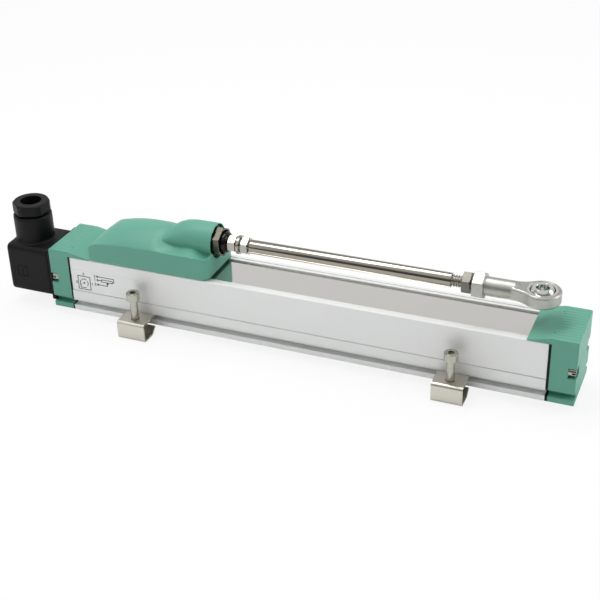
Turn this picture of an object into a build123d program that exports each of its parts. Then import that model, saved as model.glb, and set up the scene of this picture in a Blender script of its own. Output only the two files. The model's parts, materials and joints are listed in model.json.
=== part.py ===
from build123d import *
import os
from math import cos, radians, sin, sqrt

# Linear potentiometer: an aluminium extrusion with green end caps, a magnetically coupled
# carriage that slides on it, a tie rod with a ball joint and a rod end, and four groove clamps.
# Millimetres. X runs from the connector to the free end, Z up. The origin is the centre of
# the extrusion's underside.

# Travel and lengths along the housing
travel = 160.0
carriage_length = 68.4
start_gap = 0.3
end_gap = 2.4
lip_reach = 24.1
left_cap_length = 11.3
right_cap_length = 12.4
left_gasket_thickness = 0.9
right_gasket_thickness = 1.3

# Extrusion section
housing_width = 32.0
rail_top = 31.5
flange_thickness = 3.05
groove_floor = 12.4
groove_top = 6.1
groove_lip = 0.7
ledge_height = 12.0
label_recess = 0.25
edge_bevel = 0.45
rail_inner = 11.4
rail_step_at = 13.4
rail_step = 0.3
side_wall = 1.75
bottom_wall = 1.8
slot_depth = 1.1
strip_thickness = 0.8
strip_drop = 1.2
strip_shelf = 1.2
strip_shelf_inner = 10.2
lower_wall = 1.5
shelf_height = 7.9
board_thickness = 1.6
board_height = 4.0
board_slot = 0.7
screw_pad_height = 4.8
screw_pad_width = 3.1

# Cap screws
cap_screw_height = 17.5
cap_screw_inset = 3.0
cap_screw_radius = 1.5
cap_screw_length = 16.0
cap_screw_head_radius = 2.6
cap_screw_head_length = 3.5
screw_slot = 0.8
cap_pocket_length = 4.0
cap_pocket_height = 5.6

# End caps
cap_top = 34.4
lip_edge = 0.35
cap_edge_radius = 0.7
cap_rib_count = 12
cap_rib_width = 0.55
cap_rib_depth = 0.22
hollow_side_wall = 1.5
cap_hollow_bottom = 5.0
cap_hollow_top = 27.0
cap_end_wall = 3.0
wire_passage_radius = 6.0
mark_radius = 0.35
mark_depth = 0.4
mark_offset = 10.1

# Label film
label_length = 44.0
label_height = 12.2
label_thickness = 0.12
label_margin = 1.6
label_lift = 0.3

# Printed tracks
track_thickness = 0.15
track_width = 3.2
track_spacing = 9.0
track_margin = 6.0

# Carriage
carriage_lift = 0.25
carriage_corner = 4.2
carriage_back_corner = 0.8
boss_radius = 9.2
boss_nose_length = 21.7
# Nose heights over the axis, as shares of the radius, at shares of the nose's length from its high end
boss_profile = ((0.91, 0.20), (0.82, 0.33), (0.72, 0.50), (0.585, 0.72), (0.40, 0.90), (0.217, 0.98))
boss_straight = 9.5
boss_rim = 0.8
rod_axis_height = 47.0
recess_radius = 8.7
recess_depth = 3.4
shoe_width = 3.4
shoe_height = 4.2
shoe_length = 56.0
running_gap = 0.1
wiper_thickness = 1.2
wiper_inset = 3.0
wiper_height = 3.0
wiper_side_gap = 1.7
magnet_length = 18.4
magnet_width = 9.0
magnet_thickness = 4.0
magnet_gap = 4.0
magnet_clearance = 0.4
yoke_length = 52.0
yoke_width = 14.0
yoke_thickness = 2.5
yoke_screw_radius = 1.25
yoke_screw_head_radius = 2.3
yoke_screw_head_length = 1.4
yoke_screw_length = 6.0
yoke_screw_spacing = 47.0

# Carriage form at shares of its length: heights of the side's crease, the shoulder and the crown
shoulder_offset = 9.4
form_stations = (
    (0.000, 39.0, 39.8, 40.2),
    (0.045, 41.4, 42.2, 42.6),
    (0.135, 42.5, 45.4, 47.0),
    (0.230, 43.1, 47.1, 49.2),
    (0.370, 43.5, 48.2, 50.5),
    (0.500, 43.7, 48.3, 50.8),
    (0.580, 43.8, 47.5, 50.3),
    (0.660, 43.8, 45.1, 48.5),
    (0.750, 43.8, 44.5, 46.5),
    (0.870, 43.8, 44.3, 45.2),
    (1.000, 43.8, 44.2, 44.6),
)

# Cursor inside the extrusion
cursor_length = 40.0
cursor_side_gap = 0.35
cursor_top_gap = 0.5
cursor_magnet_edge = 1.0
contact_width = 1.4
contact_thickness = 0.3
contact_reach = 9.0
contact_spacing = 1.6
contact_root = 3.0
contact_pad = 1.5

# Ball joint at the carriage
ball_offset = 0.3
ball_radius = 5.7
seat_gap = 0.05
seat_thickness = 0.55
seat_front = 0.3
seat_back = 3.6
knob_radius = 5.6
knob_front = 6.2
knob_rounding = 1.9
knob_back = 4.0
socket_flats = 14.0
socket_front = 3.4
socket_hex_length = 6.1
socket_shank_radius = 7.0
socket_floor = 1.6
socket_corner = 0.7
pin_radius = 2.0
pin_clearance = 0.05
pin_head_radius = 3.3
pin_head_length = 1.4

# Tie rod
collar_gap = 0.4
collar_flats = 7.8
collar_length = 4.0
collar_corner = 0.5
spring_washer_radius = 3.4
spring_washer_length = 0.9
washer_slit = 0.6
flat_washer_radius = 4.8
flat_washer_length = 1.3
nut_boss_length = 1.0
nut_boss_radius = 3.4
nut_flats = 8.2
nut_length = 3.6
nut_corner = 0.5
tube_gap = 0.75
tube_radius = 3.55
tube_length = 104.25
tube_chamfer = 0.4
thread_radius = 2.5
thread_depth = 12.0
exposed_thread = 5.5
jam_nut_flats = 10.0
jam_nut_length = 4.1
jam_nut_gap = 1.0
jam_nut_corner = 0.6

# Rod end
foot_flats = 12.0
foot_length = 5.6
foot_corner = 0.6
shank_radius = 4.65
shank_length = 14.4
shank_taper = 2.2
eye_distance = 26.7
eye_radius = 9.0
eye_thickness = 6.5
eye_edge = 0.8
eye_meet_angle = 55.0
flare_length_share = 0.55
flare_rise_share = 0.3
shank_inset = 0.15
race_radius = 7.3
race_width = 6.0
eye_ball_radius = 6.35
eye_ball_width = 9.0
eye_bore_radius = 3.0
eye_bore_chamfer = 0.5
liner_gap = 0.03
liner_thickness = 0.3
liner_width = 2.4

# Clamps
clamp_length = 15.5
left_clamp_inset = 52.65
right_clamp_inset = 57.55
clamp_sheet = 1.0
clamp_tip = 14.3
clamp_reach = 28.1
clamp_bottom = -4.3
clamp_play = 0.1
clamp_bend = 1.2
clamp_foot_inner = 19.4
clamp_hook = 16.1
clamp_screw_offset = 22.2
clamp_screw_radius = 2.0
clamp_hole_radius = 2.25
clamp_screw_length = 21.0
clamp_head_radius = 3.5
clamp_head_length = 4.0
clamp_key_radius = 1.73
clamp_key_depth = 2.0
clamp_screw_lift = 0.6
clamp_screw_edge = 0.3

# Connector
flange_size = 30.4
flange_thickness_x = 1.8
flange_corner = 2.0
connector_gasket_thickness = 1.0
head_length = 25.6
head_width = 27.6
head_height = 27.6
head_corner = 2.6
head_edge = 0.9
head_wall = 2.4
head_bottom = 3.85
neck_radius = 10.3
neck_top = 45.9
neck_bore = 7.9
gland_flats = 18.4
gland_corner_radius = 9.9
gland_turn = 23.0
gland_bottom = 47.2
gland_top = 52.7
gland_shank = 5.3
gland_hole = 5.65
gland_chamfer = 0.8
seal_length = 6.0
seal_bore = 4.0
seal_side_gap = 0.1
washer_thickness = 0.8
washer_bore = 4.6
base_post_length = 3.0
base_post_radius = 9.0
block_size = 19.0
block_length = 13.0
block_gap = 0.4
block_corner = 1.5
blade_width = 5.0
blade_thickness = 0.9
blade_length = 10.0
blade_radius = 6.4
blade_clearance = 0.15
fixing_screw_radius = 1.5
fixing_head_radius = 2.9
fixing_head_length = 2.2
fixing_pillar_length = 2.6
fixing_pillar_radius = 4.1
base_screw_spacing = 21.0
base_screw_radius = 1.1
base_screw_head_radius = 1.9
base_screw_length = 6.0
base_screw_head_length = 1.0

# Places worked out from the sizes
body_length = 2 * lip_reach + carriage_length + travel + start_gap + end_gap
x_start = -body_length / 2
x_end = body_length / 2
profile_start = x_start + left_cap_length + left_gasket_thickness
profile_end = x_end - right_cap_length - right_gasket_thickness
half = housing_width / 2
label_face = half - label_recess
strip_top = rail_top - strip_drop
strip_bottom = strip_top - strip_thickness
shelf_underside = strip_bottom - strip_shelf
slot_edge = rail_inner + slot_depth
inner_side = label_face - side_wall
lower_side = groove_floor - lower_wall
cap_screw_y = half - cap_screw_inset
hollow_half_width = cap_screw_y - cap_screw_radius - hollow_side_wall
carriage_start = x_start + lip_reach + start_gap
carriage_end = carriage_start + carriage_length
carriage_middle = (carriage_start + carriage_end) / 2
carriage_bottom = rail_top + carriage_lift
ball_x = carriage_end - ball_offset
knob_end = ball_x + knob_front
collar_start = knob_end + collar_gap
spring_washer_start = collar_start + collar_length
flat_washer_start = spring_washer_start + spring_washer_length
nut_start = flat_washer_start + flat_washer_length
tube_start = nut_start + nut_boss_length + nut_length + tube_gap
tube_end = tube_start + tube_length
jam_nut_start = tube_end + exposed_thread
foot_start = jam_nut_start + jam_nut_length + jam_nut_gap
shank_end = foot_start + foot_length + shank_length
eye_x = foot_start + foot_length + eye_distance
flange_outer = x_start - flange_thickness_x
head_start = flange_outer - connector_gasket_thickness
head_end = head_start - head_length
head_middle_z = head_bottom + head_height / 2
neck_x = head_end + neck_radius


def box(low, high):
    size = [b - a for a, b in zip(low, high)]
    return Pos(*low) * Box(*size, align=(Align.MIN, Align.MIN, Align.MIN))


def rod_x(radius, start, end, y=0.0, z=0.0):
    section = Plane(origin=(start, y, z), x_dir=(0, 1, 0), z_dir=(1, 0, 0)) * Circle(radius)
    return extrude(section, end - start)


def rod_z(radius, start, end, x=0.0, y=0.0):
    return extrude(Plane(origin=(x, y, start)) * Circle(radius), end - start)


def hex_x(flats, start, end, z, corner=0.0):
    # A vertex points up, and the corners are turned back by a cone at both ends.
    section = Plane(origin=(start, 0, z), x_dir=(0, 1, 0), z_dir=(1, 0, 0))
    solid = extrude(section * RegularPolygon(flats / 2, 6, major_radius=False, rotation=30), end - start)
    if corner > 0:
        solid = solid & chamfered_rod(flats / sqrt(3), start, end, z, corner)
    return solid


def chamfered_rod(radius, start, end, z, chamfer_size):
    points = [
        (start, 0),
        (start, radius - chamfer_size),
        (start + chamfer_size / 2, radius),
        (end - chamfer_size / 2, radius),
        (end, radius - chamfer_size),
        (end, 0),
    ]
    return turned(points, z)


def arc_xz(centre_x, centre_z, radius, first, last):
    # An arc in the XZ plane between two angles in degrees, counted from +X towards +Z.
    angles = [radians(angle) for angle in (first, (first + last) / 2, last)]
    points = [(centre_x + radius * cos(a), 0, centre_z + radius * sin(a)) for a in angles]
    return ThreePointArc(*points)


def turned(points, z):
    # A solid of revolution about a line along X, from points of (x, radius).
    outline = Polyline(*[(x, 0, z + r) for x, r in points], close=True)
    return revolve(make_face(outline), Axis((0, 0, z), (1, 0, 0)), 360)


def turned_z(points, x, y=0.0):
    # A solid of revolution about a vertical line, from points of (radius, z).
    outline = Polyline(*[(x + r, y, z) for r, z in points], close=True)
    return revolve(make_face(outline), Axis((x, y, 0), (0, 0, 1)), 360)


def section_prism(points, start, end):
    # A prism along X from points of (y, z).
    outline = Polyline(*[(start, y, z) for y, z in points], close=True)
    return extrude(make_face(outline), end - start, dir=(1, 0, 0))


def mirrored(points):
    # The right half of a section, bottom to top, closed with its mirror image.
    return points + [(-y, z) for y, z in reversed(points)]


# Extrusion


def side_points():
    return [
        (half - edge_bevel, 0),
        (half, edge_bevel),
        (half, flange_thickness),
        (groove_floor, flange_thickness),
        (groove_floor, groove_top),
        (half - groove_lip, groove_top),
        (half, groove_top + groove_lip),
    ]


def profile_section():
    upper_side = [
        (half, ledge_height),
        (label_face, ledge_height + label_recess),
        (label_face, rail_top - edge_bevel),
        (label_face - edge_bevel, rail_top),
        (rail_step_at, rail_top),
        (rail_step_at, rail_top - rail_step),
        (rail_inner, rail_top - rail_step),
        (rail_inner, strip_top),
        (slot_edge, strip_top),
        (slot_edge, strip_bottom),
        (strip_shelf_inner, strip_bottom),
        (strip_shelf_inner, shelf_underside),
        (inner_side, shelf_underside),
    ]
    pad_side = cap_screw_y - screw_pad_width / 2
    pad_low = cap_screw_height - screw_pad_height / 2
    pad_high = cap_screw_height + screw_pad_height / 2
    board_top = board_height + board_thickness
    inside = [
        (inner_side, pad_high),
        (pad_side, pad_high),
        (pad_side, pad_low),
        (inner_side, pad_low),
        (inner_side, shelf_height),
        (lower_side, shelf_height),
        (lower_side, board_top),
        (lower_side + board_slot, board_top),
        (lower_side + board_slot, board_height),
        (lower_side, board_height),
        (lower_side, bottom_wall),
    ]
    return mirrored(side_points() + upper_side + inside)


def profile_housing():
    solid = section_prism(profile_section(), profile_start, profile_end)
    for side in (-1, 1):
        channel = rod_x(cap_screw_radius, profile_start, profile_end, side * cap_screw_y, cap_screw_height)
        solid -= channel
    return solid


def cover_strip():
    return box((profile_start, -slot_edge, strip_bottom), (profile_end, slot_edge, strip_top))


def track_board():
    edge = lower_side + board_slot
    return box((profile_start, -edge, board_height), (profile_end, edge, board_height + board_thickness))


def resistive_tracks():
    top = board_height + board_thickness
    tracks = []
    for side in (-1, 1):
        centre = side * track_spacing / 2
        low = (profile_start + track_margin, centre - track_width / 2, top)
        high = (profile_end - track_margin, centre + track_width / 2, top + track_thickness)
        tracks.append(box(low, high))
    return tracks


def label_film():
    left = profile_start + label_margin
    low = ledge_height + label_recess + label_lift
    return box(
        (left, -label_face - label_thickness, low),
        (left + label_length, -label_face, low + label_height),
    )


# End caps


def outer_section(top):
    return mirrored(side_points() + [(half, top)])


def cap_screw_holes(start, end):
    holes = []
    for side in (-1, 1):
        holes.append(rod_x(cap_screw_radius, start, end, side * cap_screw_y, cap_screw_height))
    return holes


def gasket(start, end):
    # A flat ring of the extrusion's outline that seals the cap to the extrusion.
    top_points = [(half, rail_top)] + rail_points()
    plate = section_prism(mirrored(side_points() + top_points), start, end)
    opening = box(
        (start, -hollow_half_width, cap_hollow_bottom),
        (end, hollow_half_width, cap_hollow_top),
    )
    plate -= opening
    for hole in cap_screw_holes(start, end):
        plate -= hole
    return plate


def end_cap(outer, inner, length):
    # outer is the end face, and inner points from it into the housing: +1 or -1 along X.
    block_end = outer + inner * length
    lip_end = outer + inner * lip_reach
    side_view = Polyline(
        (outer, -half, 0),
        (block_end, -half, 0),
        (block_end, -half, strip_top),
        (lip_end, -half, strip_top),
        (lip_end, -half, rail_top + lip_edge),
        (block_end, -half, cap_top),
        (outer, -half, cap_top),
        close=True,
    )
    solid = extrude(make_face(side_view), housing_width, dir=(0, 1, 0))
    low_x, high_x = sorted((outer, lip_end))
    solid = solid & section_prism(outer_section(cap_top), low_x, high_x)
    solid = round_cap(solid, outer)
    rails = section_prism(rail_envelope(), low_x, high_x)
    behind = box((min(block_end, lip_end), -half, 0), (max(block_end, lip_end), half, rail_top + lip_edge))
    solid -= rails & behind
    solid -= cap_hollow(outer, block_end, inner)
    for cutter in cap_grooves(outer, block_end) + cap_pockets(outer, inner) + cap_marks(block_end):
        solid -= cutter
    for hole in cap_screw_holes(*sorted((outer, block_end))):
        solid -= hole
    return solid


def round_cap(solid, outer):
    edges = solid.edges().filter_by(Axis.Y).group_by(Axis.Z)[-1].sort_by(lambda e: abs(e.center().X - outer))
    return fillet(edges[0:1], cap_edge_radius)


def rail_points():
    # Top of one rail, from its outer land over the step down to the strip.
    return [
        (rail_step_at, rail_top),
        (rail_step_at, rail_top - rail_step),
        (rail_inner, rail_top - rail_step),
        (rail_inner, strip_top),
    ]


def rail_envelope():
    # Everything that the lip has to clear or sit on: rails, their step and the strip.
    return mirrored([(half, 0), (half, rail_top)] + rail_points())


def cap_hollow(outer, block_end, inner):
    low_x, high_x = sorted((outer + inner * cap_end_wall, block_end))
    return box(
        (low_x, -hollow_half_width, cap_hollow_bottom),
        (high_x, hollow_half_width, cap_hollow_top),
    )


def cap_grooves(outer, block_end):
    # Fine V grooves along the top of the block leave ribs between them.
    cutters = []
    pitch = housing_width / (cap_rib_count + 1)
    low_x, high_x = sorted((outer, block_end))
    for index in range(cap_rib_count):
        y = -half + pitch * (index + 1)
        points = [
            (y - cap_rib_width / 2, cap_top),
            (y, cap_top - cap_rib_depth),
            (y + cap_rib_width / 2, cap_top),
        ]
        cutters.append(section_prism(points, low_x, high_x))
    return cutters


def cap_pockets(outer, inner):
    cutters = []
    low_x, high_x = sorted((outer, outer + inner * cap_pocket_length))
    low_z = cap_screw_height - cap_pocket_height / 2
    for side in (-1, 1):
        low_y, high_y = sorted((side * (cap_screw_y - cap_pocket_height / 2), side * half))
        cutters.append(box((low_x, low_y, low_z), (high_x, high_y, low_z + cap_pocket_height)))
    return cutters


def cap_marks(x):
    return [rod_z(mark_radius, cap_top - mark_depth, cap_top, x, side * mark_offset) for side in (-1, 1)]


def left_end_cap():
    solid = end_cap(x_start, 1, left_cap_length)
    solid -= rod_x(wire_passage_radius, x_start, x_start + cap_end_wall, 0, head_middle_z)
    for hole in base_screw_places():
        solid -= rod_x(base_screw_radius, x_start, x_start + base_screw_length - flange_thickness_x, *hole)
    return solid


def right_end_cap():
    return end_cap(x_end, -1, right_cap_length)


def left_gasket():
    return gasket(x_start + left_cap_length, profile_start)


def right_gasket():
    return gasket(profile_end, x_end - right_cap_length)


def cap_screws(outer, inner):
    # Cheese head screws whose heads lie in the pockets.
    seat = outer + inner * cap_pocket_length
    screws = []
    for side in (-1, 1):
        head = rod_x(
            cap_screw_head_radius,
            *sorted((seat - inner * cap_screw_head_length, seat)),
            side * cap_screw_y,
            cap_screw_height,
        )
        shank_end = seat + inner * cap_screw_length
        shank = rod_x(cap_screw_radius, *sorted((seat, shank_end)), side * cap_screw_y, cap_screw_height)
        slot_x = sorted((seat - inner * cap_screw_head_length, seat - inner * cap_screw_head_length / 2))
        slot = box(
            (slot_x[0], side * cap_screw_y - cap_screw_head_radius, cap_screw_height - screw_slot / 2),
            (slot_x[1], side * cap_screw_y + cap_screw_head_radius, cap_screw_height + screw_slot / 2),
        )
        screws.append(head + shank - slot)
    return screws


def left_cap_screws():
    return cap_screws(x_start, 1)


def right_cap_screws():
    return cap_screws(x_end, -1)


# Carriage


def form_section(x, crease, shoulder, crown):
    # Flat bottom, upright sides and a crowned top between two shoulders.
    low = carriage_bottom
    outline = Polyline((x, -half, crease), (x, -half, low), (x, half, low), (x, half, crease))
    top = Spline(
        (x, half, crease),
        (x, shoulder_offset, shoulder),
        (x, 0, crown),
        (x, -shoulder_offset, shoulder),
        (x, -half, crease),
    )
    return make_face([*outline.edges(), top])


def hump():
    sections = []
    for share, crease, shoulder, crown in form_stations:
        sections.append(form_section(carriage_start + share * carriage_length, crease, shoulder, crown))
    return loft(sections)


def carriage_plan():
    # The far end has rounded upright corners, and the end next to the lip has small ones.
    low = carriage_bottom - 1
    high = rod_axis_height + boss_radius + 1
    plan = box((carriage_start, -half, low), (carriage_end, half, high))
    upright = plan.edges().filter_by(Axis.Z)
    plan = fillet(upright.group_by(Axis.X)[-1], carriage_corner)
    upright = plan.edges().filter_by(Axis.Z)
    return fillet(upright.group_by(Axis.X)[0], carriage_back_corner)


def boss():
    # A round boss about the rod axis. Its blunt nose slopes down into the hump.
    straight_start = carriage_end - boss_straight
    nose_tip = straight_start - boss_nose_length
    z = rod_axis_height
    barrel = turned([
        (nose_tip, 0),
        (nose_tip, boss_radius),
        (carriage_end - boss_rim, boss_radius),
        (carriage_end, boss_radius - boss_rim),
        (carriage_end, 0),
    ], z)
    points = [(nose_tip, -boss_radius, z)]
    for share, rise in boss_profile:
        points.append((straight_start - share * boss_nose_length, -boss_radius, z + rise * boss_radius))
    points.append((straight_start, -boss_radius, z + boss_radius))
    slope = Spline(*points)
    rest = Polyline(
        (straight_start, -boss_radius, z + boss_radius),
        (carriage_end, -boss_radius, z + boss_radius),
        (carriage_end, -boss_radius, z - boss_radius),
        (nose_tip, -boss_radius, z - boss_radius),
        (nose_tip, -boss_radius, z),
    )
    return barrel & extrude(make_face([slope, *rest.edges()]), 2 * boss_radius, dir=(0, 1, 0))


def carriage_shell():
    # The moulding: hump and boss in one piece, hollow below, with the coupling's bore.
    low = carriage_bottom
    solid = (hump() + boss()) & carriage_plan()
    solid -= carriage_hollow()
    solid -= rod_x(recess_radius, carriage_end - recess_depth, carriage_end, 0, rod_axis_height)
    solid -= rod_x(socket_shank_radius, socket_back(), carriage_end - recess_depth, 0, rod_axis_height)
    for shoe_slot in shoe_boxes(0.0):
        solid -= shoe_slot
    for wiper_slot in wiper_boxes():
        solid -= wiper_slot
    for x in yoke_screw_places():
        hole_top = yoke_top() + yoke_screw_length - yoke_thickness
        solid -= rod_z(yoke_screw_radius, low, hole_top, x)
    return solid


def carriage_hollow():
    # The magnet chamber, open below, between the two end walls.
    low_x = carriage_middle - yoke_length / 2
    high_x = carriage_middle + yoke_length / 2
    return box(
        (low_x, -yoke_width / 2, carriage_bottom - 1),
        (high_x, yoke_width / 2, yoke_top()),
    )


def magnet_bottom():
    return strip_top + magnet_clearance


def yoke_top():
    return magnet_bottom() + magnet_thickness + yoke_thickness


def magnet_yoke():
    # Steel plate that carries the magnets and closes their field above.
    low_z = magnet_bottom() + magnet_thickness
    plate = box(
        (carriage_middle - yoke_length / 2, -yoke_width / 2, low_z),
        (carriage_middle + yoke_length / 2, yoke_width / 2, yoke_top()),
    )
    for x in yoke_screw_places():
        plate -= rod_z(yoke_screw_radius, low_z, yoke_top(), x)
    return plate


def yoke_screw_places():
    return [carriage_middle - yoke_screw_spacing / 2, carriage_middle + yoke_screw_spacing / 2]


def yoke_screws():
    low_z = magnet_bottom() + magnet_thickness
    screws = []
    for x in yoke_screw_places():
        head = rod_z(yoke_screw_head_radius, low_z - yoke_screw_head_length, low_z, x)
        shank = rod_z(yoke_screw_radius, low_z, low_z + yoke_screw_length, x)
        screws.append(head + shank)
    return screws


def magnets(bottom):
    blocks = []
    for side in (-1, 1):
        x = carriage_middle + side * (magnet_length + magnet_gap) / 2
        low = (x - magnet_length / 2, -magnet_width / 2, bottom)
        high = (x + magnet_length / 2, magnet_width / 2, bottom + magnet_thickness)
        blocks.append(box(low, high))
    return blocks


def carriage_magnets():
    return magnets(magnet_bottom())


def shoe_boxes(play):
    # Two sliding shoes that run on the strip along the inner faces of the rails.
    outer = rail_inner - running_gap
    low_z = strip_top + running_gap
    shoes = []
    for side in (-1, 1):
        low_y, high_y = sorted((side * (outer - shoe_width - play), side * (outer + play)))
        low = (carriage_middle - shoe_length / 2 - play, low_y, low_z)
        high = (carriage_middle + shoe_length / 2 + play, high_y, low_z + shoe_height + play)
        shoes.append(box(low, high))
    return shoes


def slide_shoes():
    return shoe_boxes(0.0)


def wiper_boxes():
    # A dark wiper across each end of the underside sweeps the rails and the strip.
    boxes = []
    starts = (carriage_start + wiper_inset, carriage_end - wiper_inset - wiper_thickness)
    for start in starts:
        upper = box(
            (start, -half + wiper_side_gap, rail_top + running_gap),
            (start + wiper_thickness, half - wiper_side_gap, rail_top + wiper_height),
        )
        lower = box(
            (start, -rail_inner + running_gap, strip_top + running_gap),
            (start + wiper_thickness, rail_inner - running_gap, rail_top + running_gap),
        )
        boxes.append(upper + lower)
    return boxes


def end_wipers():
    return wiper_boxes()


# Ball joint


def sphere_at(radius, x, z):
    return Pos(x, 0, z) * Sphere(radius)


def socket_sphere_radius():
    return ball_radius + 2 * seat_gap + seat_thickness


def socket_back():
    return ball_x - socket_sphere_radius() - socket_floor


def coupling_socket():
    # Hexagon ring with a threaded shank, hollowed by the seat's sphere.
    front = ball_x + socket_front
    ring = hex_x(socket_flats, front - socket_hex_length, front, rod_axis_height, socket_corner)
    shank = rod_x(socket_shank_radius, socket_back(), front - socket_hex_length, 0, rod_axis_height)
    mouth = rod_x(socket_sphere_radius(), ball_x, front, 0, rod_axis_height)
    return ring + shank - sphere_at(socket_sphere_radius(), ball_x, rod_axis_height) - mouth


def seat_liner():
    # Spherical liner between the socket and the ball.
    outer = sphere_at(ball_radius + seat_gap + seat_thickness, ball_x, rod_axis_height)
    inner = sphere_at(ball_radius + seat_gap, ball_x, rod_axis_height)
    reach = rod_x(socket_shank_radius, ball_x - seat_back, ball_x + seat_front, 0, rod_axis_height)
    return (outer - inner) & reach


def coupling_ball():
    # Black ball with a round knob in front, bored for the pin and its head.
    radius_at_back = sqrt(ball_radius ** 2 - knob_back ** 2)
    blend = sqrt(ball_radius ** 2 - knob_radius ** 2)
    z = rod_axis_height
    radius_between = sqrt(ball_radius ** 2 - (knob_back / 2) ** 2)
    start = (ball_x - knob_back, 0, z + radius_at_back)
    middle = (ball_x - knob_back / 2, 0, z + radius_between)
    finish = (ball_x + blend, 0, z + knob_radius)
    sphere_arc = ThreePointArc(start, middle, finish)
    front_x = ball_x + knob_front
    side = Line(finish, (front_x - knob_rounding, 0, z + knob_radius))
    rounding = arc_xz(front_x - knob_rounding, z + knob_radius - knob_rounding, knob_rounding, 90, 0)
    front = Line((front_x, 0, z + knob_radius - knob_rounding), (front_x, 0, z))
    axis_line = Line((front_x, 0, z), (ball_x - knob_back, 0, z))
    back = Line((ball_x - knob_back, 0, z), start)
    face = make_face([sphere_arc, side, rounding, front, axis_line, back])
    solid = revolve(face, Axis((0, 0, z), (1, 0, 0)), 360)
    solid -= rod_x(pin_radius + pin_clearance, ball_x - knob_back, front_x, 0, z)
    pocket = pin_head_radius + pin_clearance
    solid -= rod_x(pocket, ball_x - knob_back, ball_x - knob_back + pin_head_length + pin_clearance, 0, z)
    return solid


def ball_pin():
    # Headed pin through the ball, with a hexagon collar and a threaded tail in the tube.
    head_start = ball_x - knob_back
    head_end = head_start + pin_head_length
    tail_end = tube_start + thread_depth
    z = rod_axis_height
    pin = turned([
        (head_start, 0),
        (head_start, pin_head_radius),
        (head_end, pin_head_radius),
        (head_end, pin_radius),
        (collar_start, pin_radius),
        (collar_start, thread_radius),
        (tail_end, thread_radius),
        (tail_end, 0),
    ], z)
    return pin + hex_x(collar_flats, collar_start, spring_washer_start, z, collar_corner)


def ring_x(outer, inner, start, end):
    z = rod_axis_height
    return rod_x(outer, start, end, 0, z) - rod_x(inner, start, end, 0, z)


def spring_washer():
    ring = ring_x(spring_washer_radius, thread_radius, spring_washer_start, flat_washer_start)
    slit = box(
        (spring_washer_start, -washer_slit / 2, rod_axis_height),
        (flat_washer_start, washer_slit / 2, rod_axis_height + spring_washer_radius),
    )
    return ring - slit


def flat_washer():
    return ring_x(flat_washer_radius, thread_radius, flat_washer_start, nut_start)


def pin_nut():
    z = rod_axis_height
    hex_start = nut_start + nut_boss_length
    neck = rod_x(nut_boss_radius, nut_start, hex_start, 0, z)
    body = hex_x(nut_flats, hex_start, hex_start + nut_length, z, nut_corner)
    return neck + body - rod_x(thread_radius, nut_start, hex_start + nut_length, 0, z)


# Tie rod


def rod_tube():
    z = rod_axis_height
    solid = chamfered_rod(tube_radius, tube_start, tube_end, z, tube_chamfer)
    return solid - rod_x(thread_radius, tube_start, tube_end, 0, z)


def threaded_stud():
    z = rod_axis_height
    return rod_x(thread_radius, tube_end - thread_depth, foot_start + thread_depth, 0, z)


def jam_nut():
    z = rod_axis_height
    end = jam_nut_start + jam_nut_length
    solid = hex_x(jam_nut_flats, jam_nut_start, end, z, jam_nut_corner)
    return solid - rod_x(thread_radius, jam_nut_start, end, 0, z)


def rod_end_body():
    # Hexagon foot, round shank and a flat eye that flares out of the shank.
    z = rod_axis_height
    foot_end = foot_start + foot_length
    solid = hex_x(foot_flats, foot_start, foot_end, z, foot_corner)
    solid += turned([
        (foot_end, 0),
        (foot_end, shank_radius),
        (shank_end, shank_radius),
        (shank_end + shank_taper, eye_thickness / 2),
        (shank_end + shank_taper, 0),
    ], z)
    solid += eye_plate()
    solid -= rod_x(thread_radius, foot_start, foot_start + thread_depth, 0, z)
    solid -= rod_z(race_radius, z - eye_thickness, z + eye_thickness, eye_x)
    return solid


def eye_plate():
    # One outline: the shank's width, two hollow flares and the eye's large arc.
    z = rod_axis_height - eye_thickness / 2
    meet = radians(180 - eye_meet_angle)
    meet_x = eye_x + eye_radius * cos(meet)
    meet_y = eye_radius * sin(meet)
    start_x = shank_end - shank_taper / 2
    width = shank_radius - shank_inset
    sag_x = start_x + (meet_x - start_x) * flare_length_share
    sag_y = width + (meet_y - width) * flare_rise_share
    upper = ThreePointArc((start_x, width, z), (sag_x, sag_y, z), (meet_x, meet_y, z))
    around = ThreePointArc((meet_x, meet_y, z), (eye_x + eye_radius, 0, z), (meet_x, -meet_y, z))
    lower = ThreePointArc((meet_x, -meet_y, z), (sag_x, -sag_y, z), (start_x, -width, z))
    back = Line((start_x, -width, z), (start_x, width, z))
    plate = extrude(make_face([upper, around, lower, back]), eye_thickness, dir=(0, 0, 1))
    flat_faces = plate.faces().filter_by(Axis.Z)
    arcs = [edge for face in flat_faces for edge in face.edges() if edge.center().X > eye_x - eye_radius / 2]
    return chamfer(arcs, eye_edge)


def liner_sphere():
    return eye_ball_radius + liner_gap


def race_ring():
    z = rod_axis_height
    ring = rod_z(race_radius, z - race_width / 2, z + race_width / 2, eye_x)
    hollow = liner_sphere() + liner_thickness + liner_gap
    return ring - sphere_at(hollow, eye_x, z)


def eye_liner():
    z = rod_axis_height
    outer = sphere_at(liner_sphere() + liner_thickness, eye_x, z)
    inner = sphere_at(liner_sphere(), eye_x, z)
    band = rod_z(race_radius, z - liner_width / 2, z + liner_width / 2, eye_x)
    return (outer - inner) & band


def rod_end_ball():
    z = rod_axis_height
    band = rod_z(race_radius, z - eye_ball_width / 2, z + eye_ball_width / 2, eye_x)
    solid = sphere_at(eye_ball_radius, eye_x, z) & band
    low = z - eye_ball_width / 2
    high = z + eye_ball_width / 2
    wide = eye_bore_radius + eye_bore_chamfer
    bore = turned_z([
        (0, low),
        (wide, low),
        (eye_bore_radius, low + eye_bore_chamfer),
        (eye_bore_radius, high - eye_bore_chamfer),
        (wide, high),
        (0, high),
    ], eye_x)
    return solid - bore


# Cursor


def cursor_bottom():
    return shelf_height + running_gap


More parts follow.
